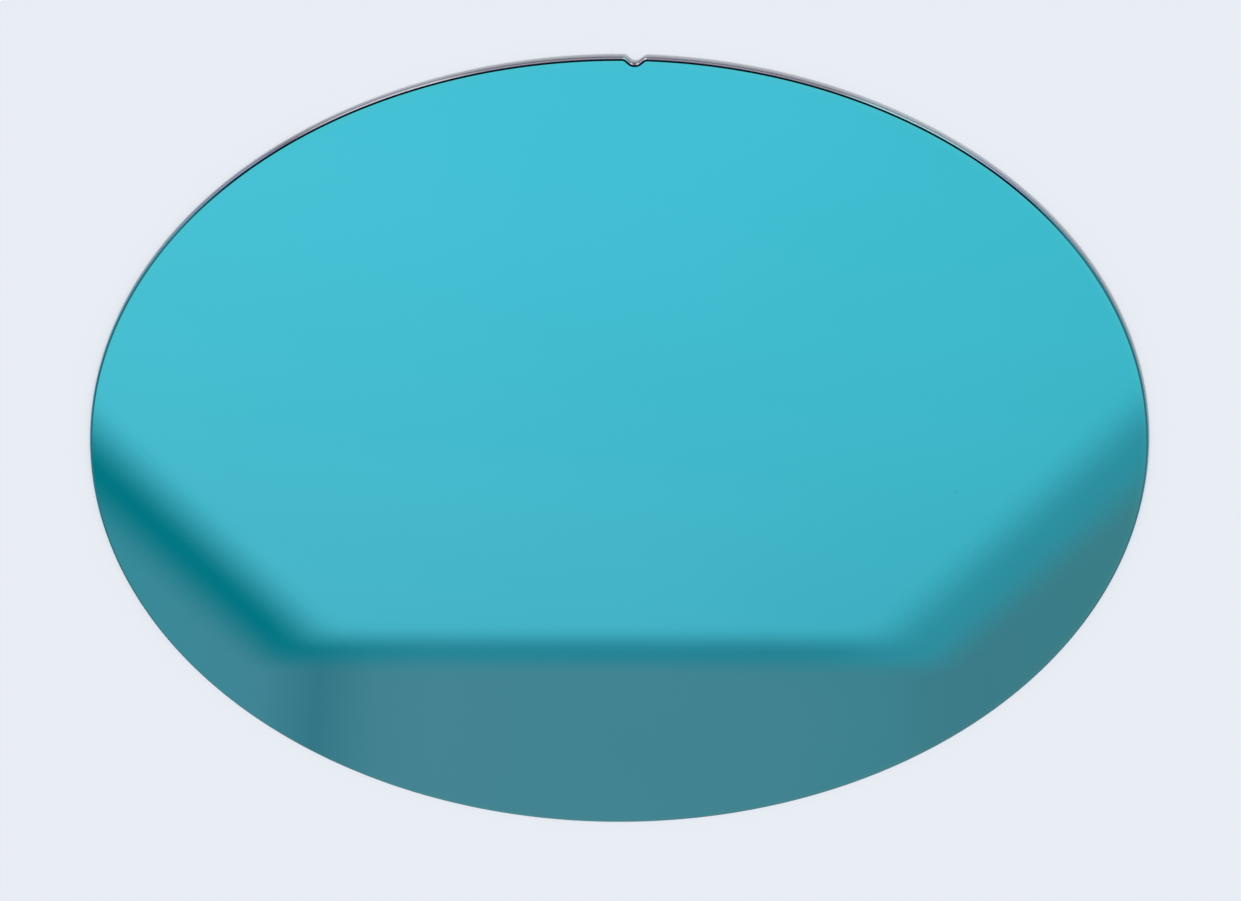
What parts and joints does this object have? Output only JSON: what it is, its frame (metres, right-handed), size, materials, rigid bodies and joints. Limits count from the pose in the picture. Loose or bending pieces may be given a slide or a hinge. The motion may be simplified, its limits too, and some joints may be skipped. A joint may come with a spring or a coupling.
{
  "type": "silicon wafer",
  "caption": "Thin round slice of silicon with a polished teal film face, a ground and rounded edge, and a small alignment notch in its rim.",
  "frame": {"origin": "centre of the back face, on the slice's own axis, where it lies on a flat surface", "axes": "+Z out of the polished face; -Y from the centre out through the notch; +X to the right when the polished face is seen with the notch towards the viewer"},
  "size_m": [0.2, 0.2, 0.0007],
  "materials": {
    "filmed_silicon": "polished"
  },
  "bodies": {
    "root": {"wafer": "filmed_silicon"}
  },
  "joints": []
}
